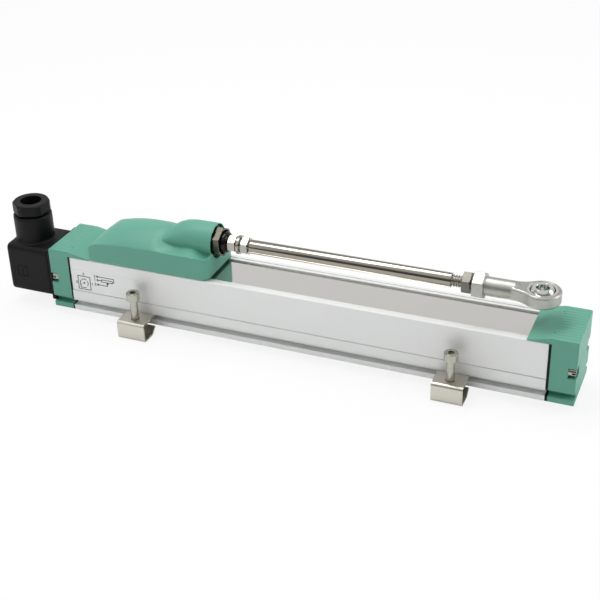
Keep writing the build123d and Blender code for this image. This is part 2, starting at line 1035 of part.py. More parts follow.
def cursor_top():
    return shelf_underside - cursor_top_gap


def cursor_block():
    # A wide foot runs on the shelves, and a narrow body carries the magnets up to the strip.
    pad_side = cap_screw_y - screw_pad_width / 2
    foot = inner_side - cursor_side_gap
    body = pad_side - cursor_side_gap
    foot_top = cap_screw_height - screw_pad_height / 2 - cursor_side_gap
    points = mirrored([
        (foot, cursor_bottom()),
        (foot, foot_top),
        (body, foot_top),
        (body, cursor_top()),
    ])
    start = carriage_middle - cursor_length / 2
    solid = section_prism(points, start, start + cursor_length)
    for magnet in cursor_magnets():
        solid -= magnet
    return solid


def cursor_magnets():
    short = cursor_length / 2 - 2 * cursor_magnet_edge
    blocks = []
    for side in (-1, 1):
        x = carriage_middle + side * (short / 2 + cursor_magnet_edge)
        low = (x - short / 2, -magnet_width / 2, cursor_top() - magnet_thickness)
        high = (x + short / 2, magnet_width / 2, cursor_top())
        blocks.append(box(low, high))
    return blocks


def wiper_contacts():
    # Bent spring fingers, two on each track, that run down from the cursor to the print.
    track_top = board_height + board_thickness + track_thickness
    tip = track_top + running_gap
    root = cursor_bottom()
    fingers = []
    for side in (-1, 1):
        for step in (-1, 1):
            y = side * track_spacing / 2 + step * contact_spacing / 2
            x = carriage_middle - contact_reach / 2
            points = [
                (x - contact_root, root),
                (x - contact_root, root - contact_thickness),
                (x, root - contact_thickness),
                (x + contact_reach, tip),
                (x + contact_reach + contact_pad, tip),
                (x + contact_reach + contact_pad, tip + contact_thickness),
                (x + contact_reach, tip + contact_thickness),
                (x + contact_thickness, root),
            ]
            outline = Polyline(*[(px, y - contact_width / 2, pz) for px, pz in points], close=True)
            fingers.append(extrude(make_face(outline), contact_width, dir=(0, 1, 0)))
    return fingers


# Clamps


def clamp_top():
    return groove_top - clamp_play


def clamp_bracket(x, side):
    # Bent sheet: a tongue in the groove, an outer wall, a foot and a hook under the flange.
    top = clamp_top() - clamp_sheet / 2
    low = clamp_bottom + clamp_sheet / 2
    wall = clamp_reach - clamp_sheet / 2
    hook_z = -clamp_play - clamp_sheet / 2
    path = FilletPolyline(
        (side * clamp_tip, top),
        (side * wall, top),
        (side * wall, low),
        (side * clamp_foot_inner, low),
        (side * clamp_hook, hook_z),
        radius=clamp_bend,
    )
    section = Plane(origin=(x - clamp_length / 2, 0, 0), x_dir=(0, 1, 0), z_dir=(1, 0, 0))
    solid = extrude(section * trace(path, clamp_sheet), clamp_length)
    y = side * clamp_screw_offset
    solid -= rod_z(clamp_hole_radius, clamp_bottom - clamp_sheet, clamp_top() + clamp_sheet, x, y)
    flange = box(
        (x - clamp_length, -half, -clamp_play),
        (x + clamp_length, half, flange_thickness + clamp_play),
    )
    return solid - flange


def clamp_screw(x, side):
    # Socket head screw that stands in the clamp's two holes.
    tip = clamp_bottom + clamp_screw_lift
    seat = tip + clamp_screw_length
    y = side * clamp_screw_offset
    edge = clamp_screw_edge
    solid = turned_z([
        (0, tip),
        (clamp_screw_radius - edge, tip),
        (clamp_screw_radius, tip + edge),
        (clamp_screw_radius, seat),
        (clamp_head_radius, seat),
        (clamp_head_radius, seat + clamp_head_length - edge),
        (clamp_head_radius - edge, seat + clamp_head_length),
        (0, seat + clamp_head_length),
    ], x, y)
    key = Plane(origin=(x, y, seat + clamp_head_length)) * RegularPolygon(clamp_key_radius, 6)
    return solid - extrude(key, -clamp_key_depth)


# Connector


def rounded_block(start, end, width, height, corner, middle_z):
    section = Plane(origin=(start, 0, middle_z), x_dir=(0, 1, 0), z_dir=(1, 0, 0))
    return extrude(section * RectangleRounded(width, height, corner), end - start)


def base_screw_places():
    # Two diagonal corners of the flange hold it to the cap.
    offset = base_screw_spacing / 2
    return [(-offset, head_middle_z - offset), (offset, head_middle_z + offset)]


def connector_base():
    # Flange on the cap with a round post that guides the head and holds the blades.
    solid = rounded_block(flange_outer, x_start, flange_size, flange_size, flange_corner, head_middle_z)
    post = rod_x(base_post_radius, flange_outer - base_post_length, flange_outer, 0, head_middle_z)
    solid += post
    for y, z in base_screw_places():
        solid -= rod_x(base_screw_radius, flange_outer, x_start, y, z)
        solid -= rod_x(base_screw_head_radius, flange_outer, flange_outer + base_screw_head_length, y, z)
    solid -= rod_x(fixing_screw_radius, flange_outer - base_post_length, x_start, 0, head_middle_z)
    for blade in contact_blades():
        solid -= blade
    return solid


def base_screws():
    screws = []
    for y, z in base_screw_places():
        head = rod_x(base_screw_head_radius, flange_outer, flange_outer + base_screw_head_length, y, z)
        shank = rod_x(
            base_screw_radius,
            flange_outer + base_screw_head_length,
            flange_outer + base_screw_length,
            y,
            z,
        )
        screws.append(head + shank)
    return screws


def blade_boxes(play, start, end):
    # Three contacts and the earth blade, a quarter turn apart about the centre screw.
    boxes = []
    wide = blade_width / 2 + play
    thin = blade_thickness / 2 + play
    for index in range(4):
        angle = 90 * index
        y = blade_radius * cos(radians(angle))
        z = head_middle_z + blade_radius * sin(radians(angle))
        across = (thin, wide) if index % 2 == 0 else (wide, thin)
        boxes.append(box((start, y - across[0], z - across[1]), (end, y + across[0], z + across[1])))
    return boxes


def contact_blades():
    post_end = flange_outer - base_post_length
    return blade_boxes(0.0, post_end - blade_length, x_start)


def connector_gasket():
    plate = rounded_block(head_start, flange_outer, head_width, head_width, flange_corner, head_middle_z)
    return plate - rod_x(base_post_radius, head_start, flange_outer, 0, head_middle_z)


def terminal_block():
    # Carries the terminals that grip the blades, inside the head.
    end = flange_outer - base_post_length - block_gap
    solid = rounded_block(end - block_length, end, block_size, block_size, block_corner, head_middle_z)
    for slot in blade_boxes(blade_clearance, end - block_length, end):
        solid -= slot
    return solid - rod_x(fixing_screw_radius + blade_clearance, end - block_length, end, 0, head_middle_z)


def connector_housing():
    # Square head with a round cable neck flush with its outer wall.
    solid = rounded_block(head_end, head_start, head_width, head_height, head_corner, head_middle_z)
    outer_edges = solid.faces().sort_by(Axis.X)[0].edges()
    solid = fillet(outer_edges, head_edge)
    middle = head_bottom + head_height / 2
    solid += rod_z(neck_radius, middle, neck_top, neck_x)
    cavity = rounded_block(
        head_end + head_wall,
        head_start,
        head_width - 2 * head_wall,
        head_height - 2 * head_wall,
        head_corner - head_edge,
        head_middle_z,
    )
    solid -= cavity
    solid -= rod_z(neck_bore, middle, neck_top, neck_x)
    # A pillar behind the outer wall, with the recess that the long screw's head sits in.
    z = head_middle_z
    pillar_end = head_end + head_wall + fixing_pillar_length
    solid += rod_x(fixing_pillar_radius, head_end + head_wall / 2, pillar_end, 0, z)
    solid -= rod_x(fixing_head_radius + blade_clearance, head_end, head_end + head_wall, 0, z)
    return solid - rod_x(fixing_screw_radius + blade_clearance, head_end, pillar_end, 0, z)


def connector_screw():
    seat = head_end + head_wall
    z = head_middle_z
    head = rod_x(fixing_head_radius, seat - fixing_head_length, seat, 0, z)
    shank = rod_x(fixing_screw_radius, seat, flange_outer, 0, z)
    slot = box(
        (seat - fixing_head_length, -fixing_head_radius, z - screw_slot / 2),
        (seat - fixing_head_length / 2, fixing_head_radius, z + screw_slot / 2),
    )
    return head + shank - slot


def gland_nut():
    # Hexagon nut whose threaded shank goes down into the neck.
    hexagon = RegularPolygon(gland_flats / 2, 6, major_radius=False, rotation=gland_turn)
    body = extrude(Plane(origin=(neck_x, 0, gland_bottom)) * hexagon, gland_top - gland_bottom)
    cone = turned_z([
        (0, gland_bottom),
        (gland_corner_radius, gland_bottom),
        (gland_corner_radius, gland_top - gland_chamfer),
        (gland_corner_radius - gland_chamfer, gland_top),
        (0, gland_top),
    ], neck_x)
    solid = body & cone
    solid += rod_z(neck_bore, gland_bottom - gland_shank, gland_bottom, neck_x)
    return solid - rod_z(gland_hole, gland_bottom - gland_shank, gland_top, neck_x)


def gland_shank_end():
    return gland_bottom - gland_shank


def ring_z(outer, inner, start, end):
    return rod_z(outer, start, end, neck_x) - rod_z(inner, start, end, neck_x)


def seal_washer():
    end = gland_shank_end()
    return ring_z(neck_bore - seal_side_gap, washer_bore, end - washer_thickness, end)


def cable_seal():
    end = gland_shank_end() - washer_thickness
    return ring_z(neck_bore - seal_side_gap, seal_bore, end - seal_length, end)


# Files


def write(name, solid):
    shape = Compound(children=list(solid)) if isinstance(solid, list) else solid
    export_step(shape, f"parts/{name}.step")


def main():
    os.makedirs("parts", exist_ok=True)
    makers = (
        profile_housing, cover_strip, track_board, resistive_tracks, label_film,
        left_end_cap, right_end_cap, left_gasket, right_gasket, left_cap_screws, right_cap_screws,
        connector_base, base_screws, contact_blades, connector_gasket, terminal_block,
        connector_housing, connector_screw, gland_nut, seal_washer, cable_seal,
        carriage_shell, magnet_yoke, yoke_screws, carriage_magnets, slide_shoes, end_wipers,
        coupling_socket, seat_liner, coupling_ball,
        ball_pin, spring_washer, flat_washer, pin_nut, rod_tube, threaded_stud, jam_nut,
        rod_end_body, race_ring, eye_liner, rod_end_ball,
        cursor_block, cursor_magnets, wiper_contacts,
    )
    for maker in makers:
        write(maker.__name__, maker())
    for side, side_name in ((-1, "front"), (1, "back")):
        for x, end_name in ((x_start + left_clamp_inset, "left"), (x_end - right_clamp_inset, "right")):
            write(f"clamp_bracket_{side_name}_{end_name}", clamp_bracket(x, side))
            write(f"clamp_screw_{side_name}_{end_name}", clamp_screw(x, side))


main()
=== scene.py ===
import json
import math
import bpy
from mathutils import Matrix, Vector


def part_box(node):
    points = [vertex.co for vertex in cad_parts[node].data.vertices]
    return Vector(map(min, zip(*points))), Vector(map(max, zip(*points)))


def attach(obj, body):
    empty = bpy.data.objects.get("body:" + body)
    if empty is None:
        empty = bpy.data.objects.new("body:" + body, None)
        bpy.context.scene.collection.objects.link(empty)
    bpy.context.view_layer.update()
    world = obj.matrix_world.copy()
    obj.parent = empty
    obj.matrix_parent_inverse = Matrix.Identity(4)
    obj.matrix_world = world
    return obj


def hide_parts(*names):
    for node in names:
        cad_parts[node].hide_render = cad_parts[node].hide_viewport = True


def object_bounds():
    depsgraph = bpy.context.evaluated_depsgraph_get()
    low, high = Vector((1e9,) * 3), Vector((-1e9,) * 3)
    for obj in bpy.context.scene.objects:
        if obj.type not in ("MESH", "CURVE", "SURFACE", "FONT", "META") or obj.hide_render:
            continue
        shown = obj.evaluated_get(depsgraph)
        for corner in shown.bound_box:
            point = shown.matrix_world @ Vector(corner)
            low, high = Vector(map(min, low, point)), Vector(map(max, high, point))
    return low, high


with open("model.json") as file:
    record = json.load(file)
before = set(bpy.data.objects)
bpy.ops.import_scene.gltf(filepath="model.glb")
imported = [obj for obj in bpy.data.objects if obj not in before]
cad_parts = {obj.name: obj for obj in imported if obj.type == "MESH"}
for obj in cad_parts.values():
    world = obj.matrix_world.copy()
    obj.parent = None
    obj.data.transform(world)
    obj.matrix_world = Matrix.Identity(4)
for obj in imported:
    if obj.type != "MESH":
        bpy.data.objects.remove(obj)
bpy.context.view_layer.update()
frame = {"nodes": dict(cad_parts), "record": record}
nodes = frame["nodes"]
print("frame loaded:", len(nodes), "nodes")


def linear(hexColour):
    channels = [int(hexColour[i:i + 2], 16) / 255 for i in (1, 3, 5)]
    return tuple(c / 12.92 if c <= 0.04045 else ((c + 0.055) / 1.055) ** 2.4 for c in channels) + (1.0,)


def millimetres(corner):
    return [c * 1000 for c in corner]


def addNode(tree, kind, settings=None, inputs=None):
    node = tree.nodes.new(kind)
    for name, value in (settings or {}).items():
        setattr(node, name, value)
    for name, value in (inputs or {}).items():
        if isinstance(value, bpy.types.NodeSocket):
            tree.links.new(value, node.inputs[name])
        else:
            node.inputs[name].default_value = value
    return node


# materials: every size is in millimetres, grain is the size of one mark along X, Y and Z

surfaces = {
    # extruded aluminium, clear anodised: even satin white metal with faint draw lines along its length
    "anodisedAluminium": dict(colour="#F2F3F2", shade="#ECEDEC", metal=1.0, rough=0.64, roughSpread=0.05,
                              grain=(90, 0.35, 0.35), height=0.002, patch=60, edge=0.15),
    # rolled stainless strip, polished: a nearly clear mirror with fine lines along its length
    "polishedStrip": dict(colour="#DEDCD8", shade="#D8D5D0", metal=1.0, rough=0.09, roughSpread=0.03,
                          grain=(90, 0.4, 0.4), height=0.0002, patch=40, edge=0.1),
    # moulded ABS, spark eroded tool: satin green with a very fine grain,
    # drawn at 0.5 mm, coarser than the real 0.1 mm, so that it shows
    "greenAbs": dict(colour="#66AB96", shade="#5FA48F", metal=0.0, rough=0.46, roughSpread=0.10, ior=1.5,
                     grain=(0.5, 0.5, 0.5), height=0.008, patch=22, edge=0.16),
    # moulded glass filled nylon: deep matt black with a fine speckle
    "blackNylon": dict(colour="#0D0D0E", shade="#121213", metal=0.0, rough=0.48, roughSpread=0.12, ior=1.53,
                       gloss=0.18, grain=(0.6, 0.6, 0.6), height=0.014, patch=9, edge=0.5),
    # turned acetal: black with a shine and fine rings from the tool
    "turnedAcetal": dict(colour="#0B0B0B", shade="#101010", metal=0.0, rough=0.14, roughSpread=0.04, ior=1.48,
                         gloss=0.30, grain=(0.4, 20, 20), height=0.002, patch=6, edge=0.25),
    # moulded nitrile rubber: dull charcoal
    "nitrileRubber": dict(colour="#161817", shade="#101211", metal=0.0, rough=0.72, roughSpread=0.10,
                          ior=1.52, gloss=0.25, grain=(0.5, 0.5, 0.5), height=0.015, patch=8, edge=0.1),
    # turned steel, nickel plated: warm dark metal with a shine and soft wiped streaks
    "nickelSteel": dict(colour="#66645A", shade="#59574D", metal=1.0, rough=0.20, roughSpread=0.08,
                        grain=(5, 1.2, 1.2), height=0.003, patch=7, edge=0.25),
    # bent sheet steel, zinc plated: pale metal with a dull shine
    "zincSheetSteel": dict(colour="#D8D4C9", shade="#D0CCC1", metal=1.0, rough=0.30, roughSpread=0.04,
                           grain=(0.6, 0.6, 8), height=0.001, patch=7, edge=0.2),
    # socket screws, yellowish zinc plate: pale metal with a faint warm cast
    "zincScrewSteel": dict(colour="#BFBEB2", shade="#ADACA0", metal=1.0, rough=0.24, roughSpread=0.10,
                           grain=(1.5, 1.5, 0.5), height=0.004, patch=4, edge=0.2),
    # turned steel, bright: pale metal with tool rings round the X axis
    "turnedSteel": dict(colour="#B9B7AE", shade="#A9A79E", metal=1.0, rough=0.18, roughSpread=0.05,
                        grain=(0.45, 12, 12), height=0.003, patch=5, edge=0.2),
    # hardened spring steel: brown from its heat treatment
    "springSteel": dict(colour="#8A7A62", shade="#7A6B55", metal=1.0, rough=0.28, roughSpread=0.08,
                        grain=(2, 2, 2), height=0.002, patch=4, edge=0.15),
    # drawn stainless tube: smooth metal that shows the studio as long pale and dark bands
    "stainlessTube": dict(colour="#A8A399", shade="#9C978D", metal=1.0, rough=0.13, roughSpread=0.05,
                          grain=(30, 1.5, 1.5), height=0.001, patch=12, edge=0.15),
    # rolled thread, bright steel
    "threadSteel": dict(colour="#B9B5AC", shade="#A8A49B", metal=1.0, rough=0.24, roughSpread=0.06,
                        grain=(3, 3, 3), height=0.001, patch=6, edge=0.05),
    # forged steel, zinc plated: grey metal, slightly rough all over
    "forgedZincSteel": dict(colour="#BEBFB9", shade="#ADAEA8", metal=1.0, rough=0.42, roughSpread=0.12,
                            grain=(0.7, 0.7, 0.7), height=0.008, patch=4, edge=0.3),
    # pressed nut, older zinc: darker grey than the rod end beside it
    "dullNutSteel": dict(colour="#7A7973", shade="#6A6963", metal=1.0, rough=0.30, roughSpread=0.08,
                         grain=(1, 1, 1), height=0.004, patch=4, edge=0.25),
    # hardened and polished bearing steel: clear bright mirror
    "polishedBearingSteel": dict(colour="#DADAD8", shade="#D0D0CE", metal=1.0, rough=0.08, roughSpread=0.03,
                                 grain=(3, 3, 0.4), height=0.001, patch=5, edge=0.2),
    # silvered polyester film on the housing: nearly the same satin as the metal round it
    "labelFilm": dict(colour="#F0F1F1", shade="#EBECEC", metal=1.0, rough=0.60, roughSpread=0.03,
                      grain=(3, 3, 3), height=0.001, patch=12, edge=0.03),
    # printing ink on the film: flat dark grey
    "printedInk": dict(colour="#222326", shade="#1D1E21", metal=0.0, rough=0.55, roughSpread=0.05, ior=1.5,
                       grain=(0.5, 0.5, 0.5), height=0.001, patch=3, edge=0.02),
    # glass fibre laminate with green solder mask
    "boardLaminate": dict(colour="#7A7340", shade="#6C6536", metal=0.0, rough=0.45, roughSpread=0.08,
                          ior=1.55, grain=(0.8, 0.8, 4), height=0.006, patch=10, edge=0.05),
    # printed conductive plastic track: black, silky
    "trackInk": dict(colour="#161616", shade="#1C1C1C", metal=0.0, rough=0.35, roughSpread=0.06, ior=1.5,
                     grain=(20, 0.5, 0.5), height=0.001, patch=15, edge=0.03),
    # spring brass, tin flashed: pale yellow metal
    "contactBrass": dict(colour="#D9B36A", shade="#C7A25C", metal=1.0, rough=0.25, roughSpread=0.08,
                         grain=(2, 0.5, 0.5), height=0.002, patch=5, edge=0.1),
    # sintered ferrite: dull dark grey
    "sinteredFerrite": dict(colour="#3A3A3C", shade="#303032", metal=0.0, rough=0.65, roughSpread=0.1,
                            ior=2.0, grain=(0.6, 0.6, 0.6), height=0.02, patch=5, edge=0.2),
}


def makeSurface(name, look):
    material = bpy.data.materials.new(name)
    material.use_nodes = True
    tree = material.node_tree
    shader = tree.nodes["Principled BSDF"]
    shader.inputs["Metallic"].default_value = look["metal"]
    if look["metal"] == 0.0:
        shader.inputs["IOR"].default_value = look["ior"]
    shader.inputs["Specular IOR Level"].default_value = look.get("gloss", 0.5)
    place = addNode(tree, "ShaderNodeTexCoord").outputs["Object"]

    # broad patches shift the colour a little
    patches = addNode(tree, "ShaderNodeTexNoise", None,
                      {"Vector": place, "Scale": 1000 / look["patch"], "Detail": 3.0})
    colour = addNode(tree, "ShaderNodeMix", {"data_type": "RGBA"},
                     {0: patches.outputs["Fac"], 6: linear(look["colour"]), 7: linear(look["shade"])})
    tree.links.new(colour.outputs[2], shader.inputs["Base Color"])

    # fine grain shifts the roughness and lifts the surface
    scale = [1000 / size for size in look["grain"]]
    grainPlace = addNode(tree, "ShaderNodeMapping", None, {"Vector": place, "Scale": scale})
    grain = addNode(tree, "ShaderNodeTexNoise", None,
                    {"Vector": grainPlace.outputs[0], "Scale": 1.0, "Detail": 4.0})
    half = look["roughSpread"] / 2
    spread = addNode(tree, "ShaderNodeMapRange", None,
                     {"Value": grain.outputs["Fac"], "From Min": 0.25, "From Max": 0.75,
                      "To Min": look["rough"] - half, "To Max": look["rough"] + half})
    tree.links.new(spread.outputs[0], shader.inputs["Roughness"])
    softEdge = addNode(tree, "ShaderNodeBevel", {"samples": 6}, {"Radius": look["edge"] / 1000})
    bump = addNode(tree, "ShaderNodeBump", None,
                   {"Height": grain.outputs["Fac"], "Distance": look["height"] / 1000,
                    "Normal": softEdge.outputs[0]})
    tree.links.new(bump.outputs[0], shader.inputs["Normal"])
    return material


materials = {name: makeSurface(name, look) for name, look in surfaces.items()}
print("materials made:", len(materials))


# which finish each CAD node takes

finishes = {
    "anodisedAluminium": ["profile_housing"],
    "polishedStrip": ["cover_strip"],
    "greenAbs": ["left_end_cap", "right_end_cap", "carriage_shell"],
    "blackNylon": ["connector_base", "connector_housing", "terminal_block", "gland_nut"],
    "turnedAcetal": ["coupling_ball", "slide_shoes", "seat_liner", "eye_liner", "cursor_block"],
    "nitrileRubber": ["left_gasket", "right_gasket", "connector_gasket", "cable_seal", "end_wipers"],
    "nickelSteel": ["coupling_socket"],
    "springSteel": ["spring_washer"],
    "turnedSteel": ["left_cap_screws", "right_cap_screws", "base_screws", "connector_screw", "seal_washer",
                    "ball_pin", "flat_washer", "pin_nut", "yoke_screws", "magnet_yoke"],
    "stainlessTube": ["rod_tube"],
    "threadSteel": ["threaded_stud"],
    "dullNutSteel": ["jam_nut"],
    "forgedZincSteel": ["rod_end_body"],
    "polishedBearingSteel": ["race_ring", "rod_end_ball"],
    "labelFilm": ["label_film"],
    "boardLaminate": ["track_board"],
    "trackInk": ["resistive_tracks"],
    "contactBrass": ["contact_blades", "wiper_contacts"],
    "sinteredFerrite": ["carriage_magnets", "cursor_magnets"],
}
for side in ("front", "back"):
    for end in ("left", "right"):
        finishes.setdefault("zincSheetSteel", []).append(f"clamp_bracket_{side}_{end}")
        finishes.setdefault("zincScrewSteel", []).append(f"clamp_screw_{side}_{end}")


def paint(piece, material):
    piece.data.materials.clear()
    piece.data.materials.append(material)


for name, members in finishes.items():
    for member in members:
        paint(nodes[member], materials[name])
unpainted = sorted(set(nodes) - {m for members in finishes.values() for m in members})
print("nodes without a finish:", unpainted)


def addPiece(name, mesh, material, body):
    piece = bpy.data.objects.new(name, mesh)
    bpy.context.scene.collection.objects.link(piece)
    paint(piece, material)
    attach(piece, body)
    return piece


def bodyOf(node):
    for body, members in frame["record"]["behaviour"]["bodies"].items():
        if node in members:
            return body
    return None


# mouldings and forgings: their edges are rounded over by a fine remesh and a few smoothing passes

softForms = {
    "carriage_shell": dict(name="carriageMoulding", finish="greenAbs", cell=0.34, passes=4, roundNose=True),
    "connector_housing": dict(name="connectorMoulding", finish="blackNylon", cell=0.42, passes=30),
    "rod_end_body": dict(name="rodEndForging", finish="forgedZincSteel", cell=0.20, passes=8),
}

# the boss runs out into the hump as a nose that is round in every section;
# profile: how far before the straight part, as a share of the nose, and the height as a share of the radius
nose = dict(radius=9.2, axis=47.0, length=21.7, straight=9.5, reach=0.5, clear=0.25,
            profile=((0.0, 1.0), (0.217, 0.98), (0.40, 0.90), (0.585, 0.72), (0.72, 0.50), (0.82, 0.33),
                     (0.91, 0.20), (1.0, 0.0)))
# the hump below it: share of the carriage's length, then its height at the shoulder and on the crown
hump = dict(shoulder=9.4, stations=((0.500, 48.3, 50.8), (0.580, 47.5, 50.3), (0.660, 45.1, 48.5),
                                    (0.750, 44.5, 46.5), (0.870, 44.3, 45.2), (1.000, 44.2, 44.6)))


def between(table, value, column):
    # straight interpolation in a table whose first column rises
    for low, high in zip(table, table[1:]):
        if value <= high[0]:
            share = (value - low[0]) / (high[0] - low[0])
            return low[column] + (high[column] - low[column]) * share
    return table[-1][column]


def roundNose(mesh):
    low, high = map(millimetres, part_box("carriage_shell"))
    start = high[0] - nose["straight"]
    for vertex in mesh.vertices:
        x, y, z = millimetres(vertex.co)
        if not start - nose["length"] - nose["reach"] < x < start or abs(y) > nose["radius"]:
            continue
        share = (x - low[0]) / (high[0] - low[0])
        shoulder = between(hump["stations"], share, 1)
        crown = between(hump["stations"], share, 2)
        ground = crown - (crown - shoulder) * (y / hump["shoulder"]) ** 2
        if z < ground + nose["clear"]:  # this point belongs to the hump
            continue
        rise = between(nose["profile"], min(1.0, (start - x) / nose["length"]), 1)
        top = nose["axis"] + rise * math.sqrt(nose["radius"] ** 2 - y ** 2)
        vertex.co.z = min(z, max(ground, top)) / 1000


def modified(mesh, kind, settings):
    # a new mesh: the given one after one modifier
    piece = bpy.data.objects.new("scratch", mesh)
    bpy.context.scene.collection.objects.link(piece)
    change = piece.modifiers.new("change", kind)
    for name, value in settings.items():
        setattr(change, name, value)
    view = bpy.context.evaluated_depsgraph_get()
    result = bpy.data.meshes.new_from_object(piece.evaluated_get(view))
    bpy.data.objects.remove(piece)
    return result


def softCopy(node, form):
    cells = dict(mode="VOXEL", voxel_size=form["cell"] / 1000, use_smooth_shade=True)
    mesh = modified(nodes[node].data.copy(), "REMESH", cells)
    if form.get("roundNose"):
        roundNose(mesh)
    mesh = modified(mesh, "SMOOTH", dict(factor=0.5, iterations=form["passes"]))
    mesh.name = form["name"]
    piece = addPiece(form["name"], mesh, materials[form["finish"]], bodyOf(node))
    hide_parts(node)
    print(form["name"], len(mesh.polygons), "faces")


for node, form in softForms.items():
    softCopy(node, form)


# threads, drawn as real helical ridges

def threadedBar(name, start, end, centre, spans, shape):
    # rings of points along X; inside a span the radius follows the thread
    around = shape["around"]
    step = shape["pitch"] / shape["ringsPerTurn"]
    count = int(round((end - start) / step))
    points = []
    for i in range(count + 1):
        x = start + (end - start) * i / count
        threaded = any(a <= x <= b for a, b in spans)
        for j in range(around):
            angle = 2 * math.pi * j / around
            phase = (x / shape["pitch"] - j / around) % 1.0
            ridge = 1 - abs(2 * phase - 1)
            rise = min(1.0, ridge * shape["crestShare"])
            radius = shape["root"] + (shape["crest"] - shape["root"]) * rise
            if not threaded:
                radius = shape["plain"]
            points.append((x / 1000, (centre[0] + radius * math.cos(angle)) / 1000,
                           (centre[1] + radius * math.sin(angle)) / 1000))
    faces = [(list(range(around)))[::-1]]
    for i in range(count):
        for j in range(around):
            k = (j + 1) % around
            faces.append((i * around + j, i * around + k, (i + 1) * around + k, (i + 1) * around + j))
    faces.append([count * around + j for j in range(around)])
    mesh = bpy.data.meshes.new(name)
    mesh.from_pydata(points, [], faces)
    mesh.update()
    mesh.polygons.foreach_set("use_smooth", [True] * len(mesh.polygons))
    return mesh


# the pitch is drawn a little coarser than the real 1.0 mm, so that the single turns show
stud = dict(pitch=1.25, crest=2.95, root=2.15, plain=2.45, around=48, ringsPerTurn=8, crestShare=1.25)

studLow, studHigh = map(millimetres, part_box("threaded_stud"))
tubeEnd = millimetres(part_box("rod_tube")[1])[0]
nutLow, nutHigh = map(millimetres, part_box("jam_nut"))
footStart = millimetres(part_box("rod_end_body")[0])[0]
axisZ = (studLow[2] + studHigh[2]) / 2
spans = [(tubeEnd, nutLow[0]), (nutHigh[0], footStart)]
mesh = threadedBar("studThread", studLow[0], studHigh[0], (0, axisZ), spans, stud)
threadedStud = addPiece("studThread", mesh, materials["threadSteel"],
                        bodyOf("threaded_stud"))
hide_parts("threaded_stud")
print("stud thread made")


# the label's drawing: plug face with its pins, and the resistor with its tap, numbered 1 to 3;
# its places are X and height on the housing's side

label = dict(line=0.40, digitLine=0.26, thickness=0.03, digitHeight=1.25, sunk=0.01)
plugFace = dict(left=-123.3, right=-116.1, low=13.7, high=21.4, centre=(-119.8, 17.5),
                pinReach=2.3, pinSpan=32, dot=0.35, keyInset=(1.2, 1.0), keyLength=3.0, keyHeight=2.0,
                digitGap=1.1, topDigitGap=1.4)
resistor = dict(left=-112.3, right=-101.6, rows=(22.8, 20.7, 18.0), boxLeft=-108.9, boxRight=-102.6,
                boxHalf=0.65, ring=0.4, ringPlace=0.9, lineStart=1.3, tap=-105.6, tapGap=0.8,
                arrow=(0.5, 0.7), digitGap=0.7)
filmFace = millimetres(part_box("label_film")[0])[1]


def flatStroke(points, width, y, thickness):
    # a ribbon along a path of (x, z), as a thin closed solid
    verts, faces = [], []
    for (x0, z0), (x1, z1) in zip(points, points[1:]):
        along = Vector((x1 - x0, z1 - z0))
        along.normalize()
        side = Vector((-along.y, along.x)) * width / 2
        first = Vector((x0, z0)) - along * width / 2
        last = Vector((x1, z1)) + along * width / 2
        base = len(verts)
        for depth in (y, y - thickness):
            for corner in (first - side, last - side, last + side, first + side):
                verts.append((corner.x / 1000, depth / 1000, corner.y / 1000))
        a = base
        faces += [(a, a + 1, a + 2, a + 3), (a + 7, a + 6, a + 5, a + 4), (a, a + 4, a + 5, a + 1),
                  (a + 1, a + 5, a + 6, a + 2), (a + 2, a + 6, a + 7, a + 3), (a + 3, a + 7, a + 4, a)]
    return verts, faces


def arcPoints(centre, radius, first, last, count=14):
    angles = [math.radians(first + (last - first) * i / count) for i in range(count + 1)]
    return [(centre[0] + radius * math.cos(a), centre[1] + radius * math.sin(a)) for a in angles]


digits = {
    "1": [[(-0.25, 0.25), (0.0, 0.5), (0.0, -0.5)]],
    "2": [[(-0.3, 0.3), (-0.1, 0.5), (0.15, 0.5), (0.3, 0.3), (0.25, 0.05), (-0.3, -0.5), (0.32, -0.5)]],
    "3": [[(-0.3, 0.4), (-0.1, 0.5), (0.15, 0.5), (0.28, 0.28), (0.1, 0.05), (-0.05, 0.03)],
          [(0.1, 0.05), (0.3, -0.2), (0.15, -0.5), (-0.1, -0.5), (-0.3, -0.38)]],
}


def digitStrokes(figure, x, z, height):
    return [[(x + px * height, z + pz * height) for px, pz in stroke] for stroke in digits[figure]]


